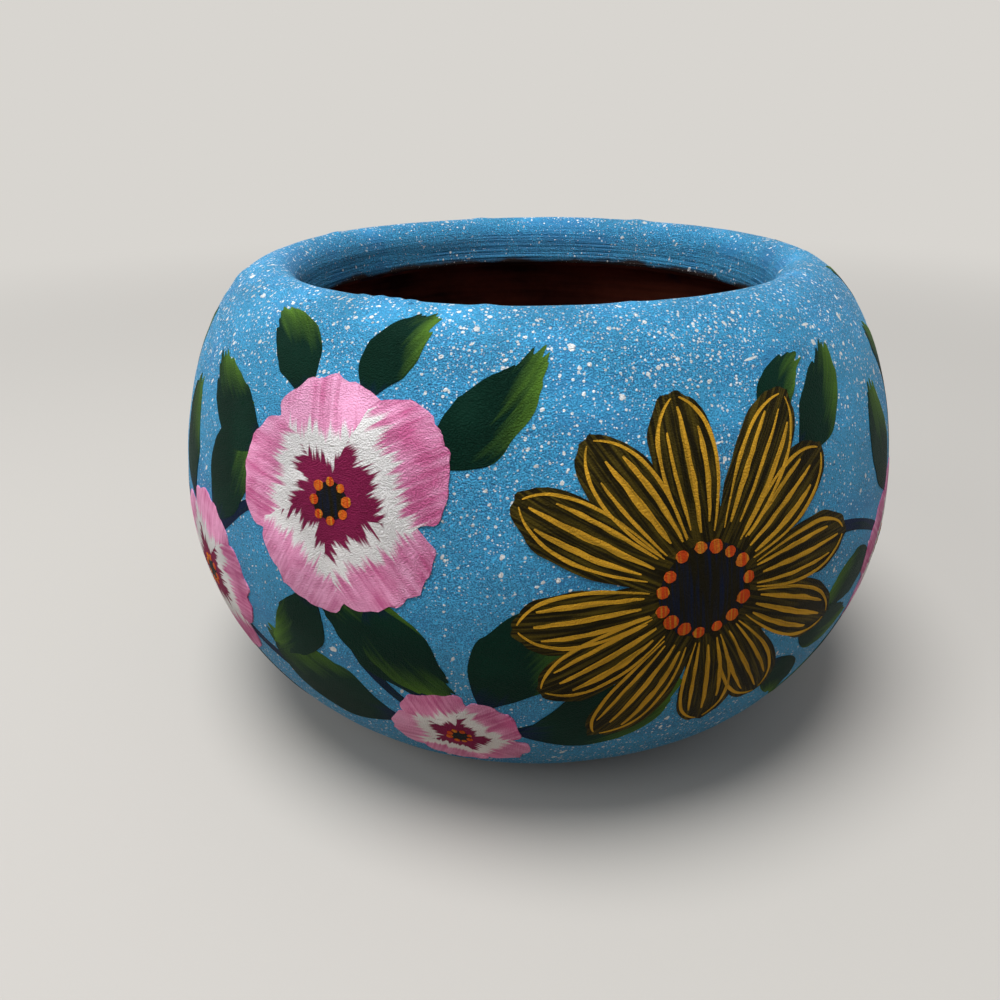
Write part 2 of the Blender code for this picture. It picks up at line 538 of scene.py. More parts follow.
class Garland:
    """A set of brush strokes that become one painted piece."""

    def __init__(self, name, seed):
        self.name = name
        self.side = PaintedSide()
        self.draw = random.Random(seed)
        self.blanks = {}
        self.strokes = []

    def copy_blank(self, across, along, lift):
        """A new stroke, still flat, that will stand at a height over the ground coat."""
        if (across, along) not in self.blanks:
            self.blanks[across, along] = new_blank(across, along)
        mark = bpy.data.objects.new(self.name, self.blanks[across, along].data.copy())
        bpy.context.collection.objects.link(mark)
        group = mark.vertex_groups.new(name="lift")
        group.add(range(len(mark.data.vertices)), lift / MAX_LIFT, "REPLACE")
        self.strokes.append(mark)
        return mark.data

    def stroke(self, spot, spine, half_width, lift, across=8, along=30, wobble=0.05, teeth=0.0, tooth=MM):
        """Lay a stroke along a curve of three points, given in metres about the spot.

        Its end is ragged by teeth of a length, each about a tooth wide.
        """
        mesh = self.copy_blank(across, along, lift)
        number = len(self.strokes)
        chance = self.draw.random()
        first, bend, last = (Vector(p) * spot.size for p in spine)
        reach = (bend - first).length + (last - bend).length
        turn = Matrix.Rotation(spot.turn, 2)
        brush = mesh.attributes["brush"].data
        spread_of = mesh.attributes["spread"].data
        for i, vertex in enumerate(mesh.vertices):
            aside = vertex.co.x
            run = (1 - math.cos(math.pi * (vertex.co.y + 1) / 2)) / 2
            centre = curve(first, bend, last, run)
            heading = ((bend - first) * (1 - run) + (last - bend) * run).normalized()
            sideways = Vector((heading.y, -heading.x))
            edge = Vector((run * EDGE_WAVES, math.copysign(SIDE_ROW, aside), number * STROKE_ROW))
            width = half_width(run) * spot.size * (1 + wobble * noise.noise(edge))
            end = Vector((aside * width / tooth, number * TEETH_ROW, 0))
            ragged = teeth * noise.noise(end) * ease(TEETH_START, 1.0, run)
            flat = turn @ (centre + sideways * (aside * width) + heading * ragged)
            height = spot.along + flat.y
            vertex.co = self.side.point(spot.azimuth + flat.x / self.side.radius(height), height)
            brush[i].vector = (aside * width, run * reach, number)
            spread_of[i].vector = (aside, run, chance)

    def dab(self, spot, place, radius, lift):
        """A round dab of the brush."""
        half = Vector((0, radius))
        self.stroke(spot, (place - half, place, place + half), lambda run: radius * bulge(run), lift,
                    across=8, along=10, wobble=0.25)

    def finish(self):
        """Join the strokes, lay them on the paint coat and fill each one down to the coat."""
        deselect()
        for mark in self.strokes:
            mark.select_set(True)
        piece = self.strokes[0]
        bpy.context.view_layer.objects.active = piece
        bpy.ops.object.join()
        piece.name = piece.data.name = self.name
        coat = bpy.data.objects[COAT_NAME]
        shape(piece, "SHRINKWRAP", target=coat, wrap_method="NEAREST_SURFACEPOINT", wrap_mode="ON_SURFACE")
        shape(piece, "DISPLACE", vertex_group="lift", mid_level=0.0, strength=MAX_LIFT)
        shape(piece, "SOLIDIFY", vertex_group="lift", thickness=MAX_LIFT, offset=-1.0)
        bpy.ops.object.shade_smooth_by_angle(angle=CREASE)
        for blank in self.blanks.values():
            bpy.data.objects.remove(blank)
        return piece


# Outlines of the strokes: how blunt their ends stay, and the powers and shares that give them their form.
DAB_END = 0.04
PETAL_END = 0.02
PETAL_SWELL = 0.72
LEAF_END = 0.03
LEAF_FULL = 0.5
LEAF_TIP = 0.24
LEAF_FOOT_POWER = 1.1
LEAF_TIP_POWER = 2.1
LINE_END = 0.25
LINE_POWER = 0.6


def bulge(run):
    """Half-width of a round dab, as a share of its radius."""
    return math.sqrt(max(0.0, 1 - (2 * run - 1) ** 2)) + DAB_END


def end_round(run, start=0.7):
    """Narrows the last part of a stroke as a quarter circle."""
    share = max(0.0, (run - start) / (1 - start))
    return math.sqrt(max(0.0, 1 - share * share)) + PETAL_END


def petal_width(half, narrow=0.35):
    """Half-width of a petal: narrow at its foot, full towards its tip, round at the end."""
    def width(run):
        swell = math.sin(math.pi * min(1, run * PETAL_SWELL))
        return half * (narrow + (1 - narrow) * swell) * end_round(run)
    return width


def leaf_width(half):
    """Half-width of a leaf: pointed at its foot, full in its middle, blunt and ragged at its tip."""
    def width(run):
        if run < LEAF_FULL:
            return half * (math.sin(math.pi / 2 * run / LEAF_FULL) ** LEAF_FOOT_POWER + LEAF_END)
        return half * (1 - (1 - LEAF_TIP) * ((run - LEAF_FULL) / (1 - LEAF_FULL)) ** LEAF_TIP_POWER)
    return width


def line_width(half):
    """Half-width of a line that thins at both ends."""
    return lambda run: half * (LINE_END + (1 - LINE_END) * math.sin(math.pi * run) ** LINE_POWER)


def ray(degrees, distance):
    """A point at a distance from a motif's middle, in a direction counted from the right."""
    return Vector((math.cos(math.radians(degrees)), math.sin(math.radians(degrees)))) * distance


# Kinds of flower: the setting that gives their reach, the petals' number, start, bend in degrees and ragged
# tips, the heart, the ring of dabs around it, and the dabs' number and size. Start, heart and ring are
# shares of the reach.
ROSETTE = SimpleNamespace(
    reach="rosette_radius", petals=5, start=0.08, bend=4, teeth=1.8 * MM, tooth=3.6 * MM,
    heart=0.15, ring=0.15, dabs=8, dab=1.15 * MM)
DAISY = SimpleNamespace(
    reach="daisy_radius", petals=12, start=0.12, bend=3, teeth=1.2 * MM, tooth=2.4 * MM,
    heart=0.25, ring=0.235, dabs=15, dab=1.5 * MM)


class Flower:
    """A flower of a kind, at a place in mm from its repeat's middle, with its size, turn and leaves."""

    def __init__(self, kind, across, along, size, turn, leaves):
        self.kind = kind
        self.across = across * MM
        self.along = along * MM
        self.size = size
        self.turn = math.radians(turn)
        self.leaves = leaves

    def reach(self):
        """How far the petals of a flower of full size reach."""
        return getattr(sizes(), self.kind.reach)

    def spot(self, repeat):
        """Where the flower is in a repeat."""
        return Spot(repeat, self.across, self.along, self.turn, self.size)


# Leaves are pairs of a direction in degrees and a share of the leaf length.
ROSETTES = (
    Flower(ROSETTE, -46, 27, 1.0, 8, (
        (32, 0.95), (76, 0.74), (118, 0.78), (160, 0.95), (-64, 0.95), (-108, 0.85))),
    Flower(ROSETTE, -98, -8, 0.86, -12, ((66, 1.1), (112, 1.0), (-80, 1.1), (-128, 1.0), (172, 0.8))),
    Flower(ROSETTE, -18, -34, 0.62, 20, ((14, 1.3), (62, 1.15), (118, 1.2), (166, 1.3))),
)
DAISIES = (
    Flower(DAISY, 38, 9, 1.0, 4, ((44, 0.85), (62, 0.62), (-30, 0.8), (-50, 0.7))),
)
# Stems run between flowers, from one place to another with a bow to the left, all in millimetres.
STEMS = (
    ((-98, -8), (-46, 27), 9), ((-46, 27), (-18, -34), -10), ((-18, -34), (38, 9), -8),
    ((38, 9), (121, -8), 12), ((-98, -8), (-18, -34), -6),
)
STEM_HALF = 1.6 * MM

# Leaves: sway in degrees and its unevenness, start under a flower, half-width, layers and ragged tips.
LEAF_SWAY = 12
LEAF_UNEVEN = 5
LEAF_START = 0.8
LEAF_HALF = 0.26
LEAF_LAYERS = 6
LEAF_TEETH = 4 * MM
LEAF_TOOTH = 1.1 * MM

# Petals: where they bend, and how uneven they are. A pace is how fast that changes around a daisy.
PETAL_MIDDLE = 0.6
ROSETTE_UNEVEN = 5
ROSETTE_FAR = (0.93, 1.04)
ROSETTE_HALF = (0.44, 0.5)
DAISY_LAYERS = 3
DAISY_HALF = 0.168
DAISY_UNEVEN = 4
DAISY_UNEVEN_PACE = 2.3
DAISY_STRETCH = 0.05
DAISY_STRETCH_PACE = 4.1

# Gold lines along a petal, as shares of its length and its half-width. The outer ones end sooner.
LINE_SIDES = (-0.5, 0.0, 0.5)
LINE_STARTS = (0.30, 0.36)
LINE_MIDDLE = 0.62
LINE_ENDS = (0.86, 0.94)
LINE_SHORTER = 0.14
LINE_SPREAD = (0.6, 1.15, 0.95)
LINE_HALF = (0.4 * MM, 0.75 * MM)
# Gold lines around a petal's edge, at the same shares.
EDGE_SIDES = (-1, 1)
EDGE_ALONG = (0.3, 0.82, 0.97)
EDGE_SPREAD = (0.42, 1.42, 0.12)
EDGE_HALF = 0.42 * MM

# Dabs: how uneven their direction is in degrees, and their distance and size as shares.
DAB_UNEVEN = 4
DAB_PLACES = (0.94, 1.06)
DAB_SIZES = (0.8, 1.15)


def in_repeats(motifs):
    """Every motif in every repeat of the garland, with the repeat's number."""
    for repeat in range(sizes().repeats):
        for motif in motifs:
            yield repeat, motif


def paint_stems():
    """Stems that run from flower to flower under the leaves."""
    garland = Garland("garland_stems", seed=11)
    for repeat, (first, last, bow) in in_repeats(STEMS):
        spot = Spot(repeat, first[0] * MM, first[1] * MM)
        way = (Vector(last) - Vector(first)) * MM
        middle = way / 2 + Vector((-way.y, way.x)).normalized() * (2 * bow * MM)
        garland.stroke(spot, (Vector((0, 0)), middle, way), line_width(STEM_HALF), STEM_LIFT,
                       across=6, along=70, wobble=0.3)
    return garland.finish()


def paint_leaves():
    """Broad dark leaves around every flower."""
    garland = Garland("garland_leaves", seed=23)
    for repeat, (order, flower) in in_repeats(list(enumerate(ROSETTES + DAISIES))):
        spot = Spot(repeat, flower.across, flower.along)
        for number, (direction, share) in enumerate(flower.leaves):
            span = sizes().leaf_length * share
            sway = LEAF_SWAY * (-1) ** number + garland.draw.uniform(-LEAF_UNEVEN, LEAF_UNEVEN)
            foot = ray(direction, flower.reach() * flower.size * LEAF_START)
            middle = foot + ray(direction - sway, span / 2)
            tip = foot + ray(direction + sway, span)
            lift = LEAF_LIFT + NEXT_LIFT * ((2 * order + number) % LEAF_LAYERS)
            garland.stroke(spot, (foot, middle, tip), leaf_width(span * LEAF_HALF), lift,
                           across=16, along=40, wobble=0.1, teeth=LEAF_TEETH, tooth=LEAF_TOOTH)
    return garland.finish()


def petal_spine(kind, direction, far):
    """The curve of a petal, from near the flower's middle out to its tip."""
    middle = ray(direction + kind.bend, far * PETAL_MIDDLE)
    return ray(direction, far * kind.start), middle, ray(direction, far)


def paint_rosettes():
    """Round pink petals, feathered white and maroon towards the heart."""
    garland = Garland("garland_rosettes", seed=37)
    for repeat, flower in in_repeats(ROSETTES):
        for i in range(ROSETTE.petals):
            turn = garland.draw.uniform(-ROSETTE_UNEVEN, ROSETTE_UNEVEN)
            direction = 90 + 360 * i / ROSETTE.petals + turn
            far = flower.reach() * garland.draw.uniform(*ROSETTE_FAR)
            half = flower.reach() * garland.draw.uniform(*ROSETTE_HALF)
            spine = petal_spine(ROSETTE, direction, far)
            garland.stroke(flower.spot(repeat), spine, petal_width(half), PETAL_LIFT + NEXT_LIFT * i,
                           across=20, wobble=0.14, teeth=ROSETTE.teeth, tooth=ROSETTE.tooth)
    return garland.finish()


def daisy_petals():
    """Yields each petal's spot, number, direction and length."""
    for repeat, flower in in_repeats(DAISIES):
        for i in range(DAISY.petals):
            turn = DAISY_UNEVEN * math.sin(i * DAISY_UNEVEN_PACE + repeat)
            stretch = 1 + DAISY_STRETCH * math.sin(i * DAISY_STRETCH_PACE + repeat)
            yield flower.spot(repeat), i, 360 * i / DAISY.petals + turn, flower.reach() * stretch


def paint_daisies():
    """Dark petals in a ring."""
    garland = Garland("garland_daisies", seed=41)
    half = sizes().daisy_radius * DAISY_HALF
    for spot, i, direction, far in daisy_petals():
        spine = petal_spine(DAISY, direction, far)
        lift = PETAL_LIFT + NEXT_LIFT * (i % DAISY_LAYERS)
        garland.stroke(spot, spine, petal_width(half, narrow=0.4), lift,
                       across=12, wobble=0.12, teeth=DAISY.teeth, tooth=DAISY.tooth)
    return garland.finish()


def paint_gold_lines():
    """Gold lines along the daisies' petals, and thinner ones around their edges."""
    garland = Garland("garland_gold_lines", seed=43)
    half = sizes().daisy_radius * DAISY_HALF
    for spot, _, direction, far in daisy_petals():
        aside = ray(direction + 90, half)
        for side in LINE_SIDES:
            start = garland.draw.uniform(*LINE_STARTS)
            end = garland.draw.uniform(*LINE_ENDS) - LINE_SHORTER * abs(side)
            places = zip((start, LINE_MIDDLE, end), LINE_SPREAD)
            spine = [ray(direction, far * along) + aside * (side * across) for along, across in places]
            thickness = garland.draw.uniform(*LINE_HALF)
            garland.stroke(spot, spine, line_width(thickness), LINE_LIFT, across=3, wobble=0.5)
        for side in EDGE_SIDES:
            places = zip(EDGE_ALONG, EDGE_SPREAD)
            spine = [ray(direction, far * along) + aside * (side * across) for along, across in places]
            garland.stroke(spot, spine, line_width(EDGE_HALF), LINE_LIFT, across=3, wobble=0.6)
    return garland.finish()


def paint_hearts():
    """Dark hearts of both kinds of flower."""
    garland = Garland("garland_hearts", seed=47)
    for repeat, flower in in_repeats(DAISIES + ROSETTES):
        radius = flower.reach() * flower.kind.heart
        garland.dab(flower.spot(repeat), Vector((0, 0)), radius, HEART_LIFT)
    return garland.finish()


def paint_dabs():
    """Orange dabs around the hearts."""
    garland = Garland("garland_dabs", seed=53)
    for repeat, flower in in_repeats(DAISIES + ROSETTES):
        kind = flower.kind
        for i in range(kind.dabs):
            direction = 360 * i / kind.dabs + garland.draw.uniform(-DAB_UNEVEN, DAB_UNEVEN)
            place = ray(direction, flower.reach() * kind.ring * garland.draw.uniform(*DAB_PLACES))
            radius = kind.dab * garland.draw.uniform(*DAB_SIZES)
            garland.dab(flower.spot(repeat), place, radius, DOT_LIFT)
    return garland.finish()


# Materials

# Sizes of the patterns.
GRIT = 0.35 * MM
PITS = 2.4 * MM
ROUGH_PATCHES = 15 * MM
BRUSH_CLOUDS = 16 * MM
SPECK_CLUMPS = 16 * MM
SPECK_JITTER = 0.7 * MM
TURNING_RINGS = 9 * MM
WORN_WAVES = 14 * MM
CLAY_STAINS = 30 * MM
PAINT_SMEARS = 26 * MM
PETAL_CLOUDS = 6 * MM
# Scales that draw a pattern out around the pot.
PITTED = (0.7, 0.7, 1.9)
BRUSHED = (0.5, 0.5, 2.2)
RINGED = (0.12, 0.12, 11)
FINGERED = (0.25, 0.25, 3)
# How high the bumps rise, on the coat's upper and lower part, on the strokes and on the clay.
COAT_BUMP = 0.58 * MM
LOW_COAT_BUMP = 1.1 * MM
STROKE_BUMP = 0.34 * MM
CLAY_BUMP = 0.3 * MM
# Where a look starts and where it is full: inside the crest's circle, below the crest, or as levels.
THROAT_INSIDE = (2 * MM, 6 * MM)
FURROWS_BELOW = (4 * MM, 13 * MM)
FOOT_SPECKS = (60 * MM, 15 * MM)
COARSE_COAT = (75 * MM, 20 * MM)
SMEARED_CLAY = (75 * MM, 110 * MM)
# Above this level the bare clay is drawn mostly in its darkest tone: painted shade inside the pot.
SHADED_INSIDE_LEVEL = 14 * MM
# The worn edge in the throat: how far it wanders, and how soft it is.
WORN_REACH = 8 * MM
WORN_SOFT = 1.5 * MM
# Streaks of the bristles, as a width and a run, and how far apart the streaks of two strokes are drawn.
PETAL_FINE = (0.9 * MM, 16 * MM)
PETAL_BROAD = (3.5 * MM, 30 * MM)
LEAF_FINE = (0.9 * MM, 18 * MM)
LEAF_BROAD = (4 * MM, 26 * MM)
PLAIN_FINE = (0.7 * MM, 14 * MM)
STROKES_APART = 7.31


def open_socket(sockets, key=0):
    """The socket of a name or number, among those that the node's settings leave open."""
    live = [socket for socket in sockets if socket.enabled]
    return live[key] if isinstance(key, int) else next(socket for socket in live if socket.name == key)


def add_node(tree, kind, inputs=None, operation=None, **settings):
    """Add a node with its settings and links. A node given as an input stands for its first output."""
    node = tree.nodes.new("ShaderNode" + kind)
    if operation:
        node.operation = operation
    for name, value in settings.items():
        setattr(node, name, value)
    for key, value in (inputs or {}).items():
        socket = open_socket(node.inputs, key)
        if isinstance(value, bpy.types.Node):
            value = open_socket(value.outputs)
        if isinstance(value, bpy.types.NodeSocket):
            tree.links.new(value, socket)
        else:
            socket.default_value = value
    return node


def new_material(name):
    """An empty material, the function that adds nodes to it, and its object coordinates."""
    material = bpy.data.materials.new(name)
    material.use_nodes = True
    material.node_tree.nodes.clear()
    add = partial(add_node, material.node_tree)
    return material, add, add("TexCoord").outputs["Object"]


def clay_grain(add, place):
    """Height of the sandy clay under every coat: grit, rough in patches, and small drawn-out pits.

    The real grit is about 0.3 mm. It is drawn a little coarser, so that it shows in a picture.
    """
    patches = add("TexNoise", {"Vector": place, "Scale": 1 / ROUGH_PATCHES})
    rough = add("MapRange", {
        "Value": patches, "From Min": 0.36, "From Max": 0.66, "To Min": 0.4, "To Max": 1.5})
    grit = add("TexNoise", {"Vector": place, "Scale": 1 / GRIT, "Detail": 1.0, "Roughness": 0.6})
    sharp = add("MapRange", {"Value": grit, "From Min": 0.37, "From Max": 0.63})
    grain = add("Math", {0: sharp, 1: rough}, "MULTIPLY")
    drawn = add("Mapping", {"Vector": place, "Scale": PITTED})
    cells = add("TexVoronoi", {"Vector": drawn, "Scale": 1 / PITS})
    chance = add("SeparateColor", {"Color": cells.outputs["Color"]}).outputs["Green"]
    size = add("MapRange", {"Value": chance, "From Min": 0.6, "To Max": 0.22})
    depth = add("Math", {0: size, 1: cells}, "SUBTRACT")
    pits = add("MapRange", {"Value": depth, "From Max": 0.07})
    return add("Math", {0: grain, 1: pits}, "SUBTRACT")


# How soft a speck's edge is, as a share of its radius.
SPECK_EDGE = 0.2
# Splatter layers: cell size, largest radius, share of cells with a speck, opacity, stretch and turn.
ROUND = (1, 1, 1)
OVAL = (1, 1, 2.2)
DASH = (1, 1, 6)
SPLATTER = (
    (0.7 * MM, 0.22 * MM, 0.54, 0.6, ROUND, (0, 0, 0)),
    (1.2 * MM, 0.36 * MM, 0.53, 0.9, ROUND, (0.3, 0.2, 0)),
    (2.7 * MM, 0.54 * MM, 0.53, 1.0, OVAL, (0.7, 0.1, 0.4)),
    (6.4 * MM, 0.86 * MM, 0.48, 1.0, OVAL, (1.2, 0.9, 0.1)),
    (2.6 * MM, 0.34 * MM, 0.34, 1.0, DASH, (1.1, 0.4, 0.2)),
    (2.8 * MM, 0.34 * MM, 0.34, 1.0, DASH, (0.7, -0.9, 1.0)),
    (3.0 * MM, 0.38 * MM, 0.34, 1.0, DASH, (1.5, 0.2, 2.2)),
)


def splatter(add, place, denser):
    """White paint flicked off a brush: uneven dots and dashes, more of them where denser is high."""
    jitter = add("TexNoise", {"Vector": place, "Scale": 1 / SPECK_JITTER})
    centred = add("VectorMath", {0: jitter.outputs["Color"], 1: (0.5, 0.5, 0.5)}, "SUBTRACT")
    specks = 0.0
    for cell, largest, share, opacity, stretch, turn in SPLATTER:
        uneven = add("VectorMath", {0: centred, 1: (largest,) * 3, 2: place}, "MULTIPLY_ADD")
        turned = add("Mapping", {
            "Vector": uneven, "Rotation": turn, "Scale": stretch}, vector_type="TEXTURE")
        cells = add("TexVoronoi", {"Vector": turned, "Scale": 1 / cell})
        draw = add("SeparateColor", {"Color": cells.outputs["Color"]})
        chance = add("Math", {0: draw, 1: denser}, "ADD")
        size = add("MapRange", {"Value": chance, "From Min": 1 - share, "To Max": largest / cell})
        inside = add("Math", {0: size, 1: cells}, "SUBTRACT")
        dot = add("MapRange", {
            "Value": inside, "From Max": SPECK_EDGE * largest / cell, "To Max": opacity})
        specks = add("Math", {0: dot, 1: specks}, "MAXIMUM")
    return specks


def throat_share(add, place):
    """One in the throat and zero on the shoulder."""
    crest = sizes().crest_radius
    start, full = THROAT_INSIDE
    flat = add("VectorMath", {0: place, 1: (1, 1, 0)}, "MULTIPLY")
    out = add("VectorMath", {0: flat}, "LENGTH")
    return add("MapRange", {"Value": out, "From Min": crest - start, "From Max": crest - full})


def throat_furrows(add, place, level, throat):
    """Furrows that a turning hand leaves around the throat, deeper towards its lower edge."""
    crest = sizes().height
    start, full = FURROWS_BELOW
    drawn = add("Mapping", {"Vector": place, "Scale": RINGED})
    rings = add("TexNoise", {"Vector": drawn, "Scale": 1 / TURNING_RINGS, "Detail": 3.0})
    ridges = add("MapRange", {"Value": rings, "From Min": 0.36, "From Max": 0.64})
    deep = add("MapRange", {
        "Value": level, "From Min": crest - start, "From Max": crest - full, "To Min": 0.3})
    cut = add("Math", {0: ridges, 1: deep}, "MULTIPLY")
    return add("Math", {0: cut, 1: throat}, "MULTIPLY")


def worn_edge(add, place, level, throat):
    """One below the ragged line in the throat where the paint is worn off, and zero above it."""
    low = sizes().height - sizes().throat_depth
    wave = add("TexNoise", {"Vector": place, "Scale": 1 / WORN_WAVES, "Detail": 4.0})
    ragged = add("Math", {0: wave, 1: -WORN_REACH, 2: level}, "MULTIPLY_ADD")
    worn = add("MapRange", {"Value": ragged, "From Min": low, "From Max": low - WORN_SOFT})
    return add("Math", {0: worn, 1: throat}, "MULTIPLY")


def speck_density(add, place, level, throat):
    """Where the splatter fell thick: in clumps, near the rim and the foot, and less in the throat."""
    pot = sizes()
    start, full = FOOT_SPECKS
    high = add("MapRange", {
        "Value": level, "From Min": pot.belly_level, "From Max": pot.height,
        "To Min": -0.29, "To Max": 0.12})
    foot = add("MapRange", {"Value": level, "From Min": start, "From Max": full, "To Max": 0.3})
    ends = add("Math", {0: high, 1: foot}, "ADD")
    clumps = add("TexNoise", {"Vector": place, "Scale": 1 / SPECK_CLUMPS})
    denser = add("Math", {0: clumps, 1: 0.5, 2: ends}, "MULTIPLY_ADD")
    return add("Math", {0: throat, 1: -0.32, 2: denser}, "MULTIPLY_ADD")


def brushed_blue_acrylic():
    """Matt acrylic on rough clay: blue, darker in the grain partly as painted shade, painted darker in the
    throat and its furrows as painted shade, splattered white, ringed in the throat.
    """
    shades = colours()
    start, full = COARSE_COAT
    material, add, place = new_material("brushed_blue_acrylic")
    level = add("SeparateXYZ", {"Vector": place}).outputs["Z"]
    throat = throat_share(add, place)
    furrows = throat_furrows(add, place, level, throat)
    grain = clay_grain(add, place)
    brushed = add("Mapping", {"Vector": place, "Scale": BRUSHED})
    clouds = add("TexNoise", {"Vector": brushed, "Scale": 1 / BRUSH_CLOUDS, "Detail": 5.0})
    # Patchy tone of the brushwork, and darker in the grain's pits, partly as painted shade.
    depth = add("Math", {0: grain, 1: clouds}, "ADD")
    # Painted shade: the throat is drawn darker, and its furrows darker than their ridges.
    shaded = add("Math", {0: throat, 1: -0.25, 2: depth}, "MULTIPLY_ADD")
    lit = add("Math", {0: furrows, 1: 0.35, 2: shaded}, "MULTIPLY_ADD")
    tone_and_shade = add("MapRange", {"Value": lit, "From Min": 0.5, "From Max": 1.1})
    blue = add("Mix", {0: tone_and_shade, 1: shades.blue_tone_and_shade, 2: shades.blue}, data_type="RGBA")
    # The worn edge in the throat shows bare clay in its darkest tone, as painted shade.
    bare = worn_edge(add, place, level, throat)
    ground = add("Mix", {0: bare, 1: blue, 2: shades.clay_stain_and_shade}, data_type="RGBA")
    specks = splatter(add, place, speck_density(add, place, level, throat))
    colour = add("Mix", {0: specks, 1: ground, 2: shades.speck}, data_type="RGBA")
    raised = add("Math", {0: specks, 1: 0.25, 2: grain}, "MULTIPLY_ADD")
    height = add("Math", {0: furrows, 1: 1.2, 2: raised}, "MULTIPLY_ADD")
    coarse = add("MapRange", {
        "Value": level, "From Min": start, "From Max": full, "To Min": COAT_BUMP, "To Max": LOW_COAT_BUMP})
    bump = add("Bump", {"Height": height, "Strength": 1.0, "Distance": coarse})
    paint = add("BsdfPrincipled", {
        "Base Color": colour, "Normal": bump, "Roughness": 0.62, "Specular IOR Level": 0.42})
    add("OutputMaterial", {"Surface": paint})
    return material


def fired_terracotta():
    """Bare fired clay: red-brown and matt, with random dark stains, painted shade that darkens it above the
    foot, finger rings and stray paint.
    """
    shades = colours()
    start, full = SMEARED_CLAY
    material, add, place = new_material("fired_terracotta")
    stains = add("TexNoise", {"Vector": place, "Scale": 1 / CLAY_STAINS, "Detail": 4.0})
    drawn = add("Mapping", {"Vector": place, "Scale": FINGERED})
    rings = add("TexNoise", {"Vector": drawn, "Scale": 1 / TURNING_RINGS, "Detail": 3.0})
    level = add("SeparateXYZ", {"Vector": place}).outputs["Z"]
    # Painted shade: lighter clay at the foot, mostly the darkest tone above it inside the pot.
    shaded_inside = add("MapRange", {"Value": level, "From Max": SHADED_INSIDE_LEVEL, "To Min": 0.62, "To Max": 0.1})
    streaks = add("Math", {0: rings, 1: 0.45, 2: shaded_inside}, "MULTIPLY_ADD")
    stains_rings_and_shade = add("Math", {0: stains, 1: streaks}, "ADD")
    share = add("MapRange", {"Value": stains_rings_and_shade, "From Min": 0.62, "From Max": 1.2})
    clay = add("Mix", {0: share, 1: shades.clay_stain_and_shade, 2: shades.clay}, data_type="RGBA")
    smears = add("TexNoise", {"Vector": place, "Scale": 1 / PAINT_SMEARS, "Detail": 3.0})
    high = add("MapRange", {
        "Value": level, "From Min": start, "From Max": full, "To Min": -0.3, "To Max": 0.0})
    chance = add("Math", {0: smears, 1: high}, "ADD")
    smeared = add("MapRange", {"Value": chance, "From Min": 0.62, "From Max": 0.68, "To Max": 0.7})
    clay = add("Mix", {0: smeared, 1: clay, 2: shades.stem}, data_type="RGBA")
    grain = clay_grain(add, place)
    bump = add("Bump", {"Height": grain, "Strength": 0.8, "Distance": CLAY_BUMP})
    surface = add("BsdfPrincipled", {
        "Base Color": clay, "Normal": bump, "Roughness": 0.85, "Specular IOR Level": 0.2})
    add("OutputMaterial", {"Surface": surface})
    return material


def bristles(add, width, run):
    """Streaks along a brush stroke, of a width and a run in metres."""
    place = add("Attribute", attribute_name="brush").outputs["Vector"]
    drawn = add("Mapping", {"Vector": place, "Scale": (1 / width, 1 / run, STROKES_APART)})
    return add("TexNoise", {"Vector": drawn, "Scale": 1.0, "Detail": 3.0})


def stroke_share(add):
    """How far across and along its stroke a point lies, and the stroke's own chance, as X, Y and Z."""
    share = add("Attribute", attribute_name="spread").outputs["Vector"]
    return add("SeparateXYZ", {"Vector": share}).outputs


def finish_stroke(add, place, colour, streaks, roughness):
    """The surface of a brush stroke: matt paint over the sandy ground, furrowed by its bristles."""
    grain = clay_grain(add, place)
    height = add("Math", {0: streaks, 1: 0.5, 2: grain}, "MULTIPLY_ADD")
    bump = add("Bump", {"Height": height, "Strength": 1.0, "Distance": STROKE_BUMP})
    paint = add("BsdfPrincipled", {
        "Base Color": colour, "Normal": bump, "Roughness": roughness, "Specular IOR Level": 0.05})
    add("OutputMaterial", {"Surface": paint})


def petal_acrylic():
    """Pink acrylic, wet-blended: white feathered out of the petal and maroon out of its foot."""
    shades = colours()
    material, add, place = new_material("pink_petal_acrylic")
    share = stroke_share(add)
    fine = bristles(add, *PETAL_FINE)
    broad = bristles(add, *PETAL_BROAD)
    clouds = add("TexNoise", {"Vector": place, "Scale": 1 / PETAL_CLOUDS, "Detail": 4.0})
    mottle = add("Math", {0: fine, 1: clouds}, "ADD")
    varied = add("Math", {0: share["Z"], 1: 0.35, 2: mottle}, "MULTIPLY_ADD")
    light = add("MapRange", {"Value": varied, "From Min": 0.85, "From Max": 1.4})
    pink = add("Mix", {0: light, 1: shades.pink_deep, 2: shades.pink}, data_type="RGBA")
    flick = add("Math", {0: fine, 1: -0.5, 2: share["Y"]}, "MULTIPLY_ADD")
    reach = add("Math", {0: broad, 1: -0.3, 2: flick}, "MULTIPLY_ADD")
    white_part = add("MapRange", {"Value": reach, "From Min": 0.16, "From Max": 0.06})
    maroon_part = add("MapRange", {"Value": reach, "From Min": -0.10, "From Max": -0.15})
    feathered = add("Mix", {0: white_part, 1: pink, 2: shades.white}, data_type="RGBA")
    colour = add("Mix", {0: maroon_part, 1: feathered, 2: shades.maroon}, data_type="RGBA")
    finish_stroke(add, place, colour, fine, roughness=0.6)
    return material


